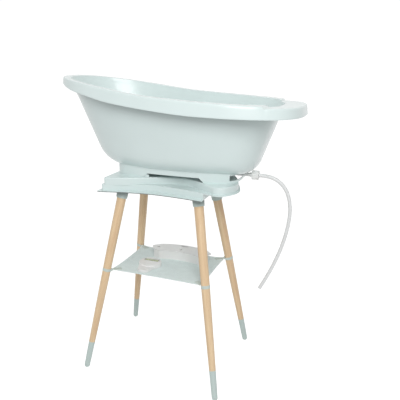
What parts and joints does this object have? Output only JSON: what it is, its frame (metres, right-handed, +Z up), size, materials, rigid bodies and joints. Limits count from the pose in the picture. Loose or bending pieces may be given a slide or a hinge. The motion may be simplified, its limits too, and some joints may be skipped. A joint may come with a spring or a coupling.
{
  "type": "baby bathtub with stand",
  "caption": "Moulded baby bathtub seated on a splayed wooden-legged stand with a stepped tray, cloth shelf, drain hose, thermometer and accessory holder.",
  "frame": {"origin": "on the floor, at the middle of the whole object's outline seen from above", "axes": "+Z up, +X from the tub's head end towards its drain, -Y towards the hollow front of the tray"},
  "size_m": [0.9666, 0.5415, 1.2221],
  "materials": {
    "tub": "smooth satin moulding, pale mint",
    "tray": "smooth satin moulding, pale mint",
    "socket": "smooth moulding, pale mint",
    "foot_cap": "soft matt mint",
    "wood": "turned beech, clear satin lacquer",
    "shelf": "taut woven cloth, mint",
    "strap": "woven webbing, mint",
    "steel": "zinc plated",
    "brass": "plain",
    "white_plastic": "satin white moulding",
    "hose": "soft white vinyl",
    "rubber": "plain grey",
    "lens": "clear window",
    "display": "grey-green display",
    "board": "green circuit board"
  },
  "bodies": {
    "stand": {"leg_front_left": "wood", "leg_front_right": "wood", "leg_back_right": "wood", "leg_back_left": "wood", "foot_cap_front_left": "foot_cap", "foot_cap_front_right": "foot_cap", "foot_cap_back_right": "foot_cap", "foot_cap_back_left": "foot_cap", "leg_socket_front_left": "socket", "leg_socket_front_right": "socket", "leg_socket_back_right": "socket", "leg_socket_back_left": "socket", "leg_bolts": "steel", "socket_inserts": "brass", "socket_screws": "steel", "stand_tray": "tray", "tray_tabs": "tray", "shelf_sheet": "shelf", "shelf_loop_front_left": "strap", "shelf_loop_front_right": "strap", "shelf_loop_back_right": "strap", "shelf_loop_back_left": "strap"},
    "tub": {"tub_bowl": "tub", "tub_rim": "tub", "tub_base_ring": "tub", "drain_body": "white_plastic", "drain_gasket": "rubber", "drain_strainer": "white_plastic", "hose_washer": "rubber", "hose_tail": "white_plastic", "drain_hose": "hose"},
    "drain_plug": {"drain_plug": "white_plastic"},
    "hose_nut": {"hose_nut": "white_plastic"},
    "accessory_holder": {"accessory_holder": "white_plastic"},
    "thermometer": {"thermometer_back": "white_plastic", "thermometer_front": "white_plastic", "thermometer_lens": "lens", "thermometer_display": "display", "thermometer_board": "board", "thermometer_cell": "steel", "thermometer_probe": "steel", "thermometer_screws": "steel", "battery_seal": "rubber"},
    "battery_door": {"battery_door": "white_plastic"}
  },
  "joints": [
    {"name": "tub_lift", "type": "slide", "parent": "stand", "child": "tub", "axis": [0, 0, 1], "range_m": [0, 0.28]},
    {"name": "plug_pull", "type": "slide", "parent": "tub", "child": "drain_plug", "axis": [0, 0, 1], "range_m": [0, 0.08]},
    {"name": "hose_nut_turn", "type": "hinge", "parent": "tub", "child": "hose_nut", "pos_m": [0.3165, 0.015, 0.8685], "axis": [1, 0, 0], "continuous": true},
    {"name": "holder_lift", "type": "slide", "parent": "stand", "child": "accessory_holder", "axis": [0, 0, 1], "range_m": [0, 0.15]},
    {"name": "thermometer_lift", "type": "slide", "parent": "stand", "child": "thermometer", "axis": [0, 0, 1], "range_m": [0, 0.12]},
    {"name": "battery_door_turn", "type": "hinge", "parent": "thermometer", "child": "battery_door", "pos_m": [-0.1, -0.068, 0.4545], "axis": [0, 0, 1], "range_deg": [0, 60]}
  ]
}
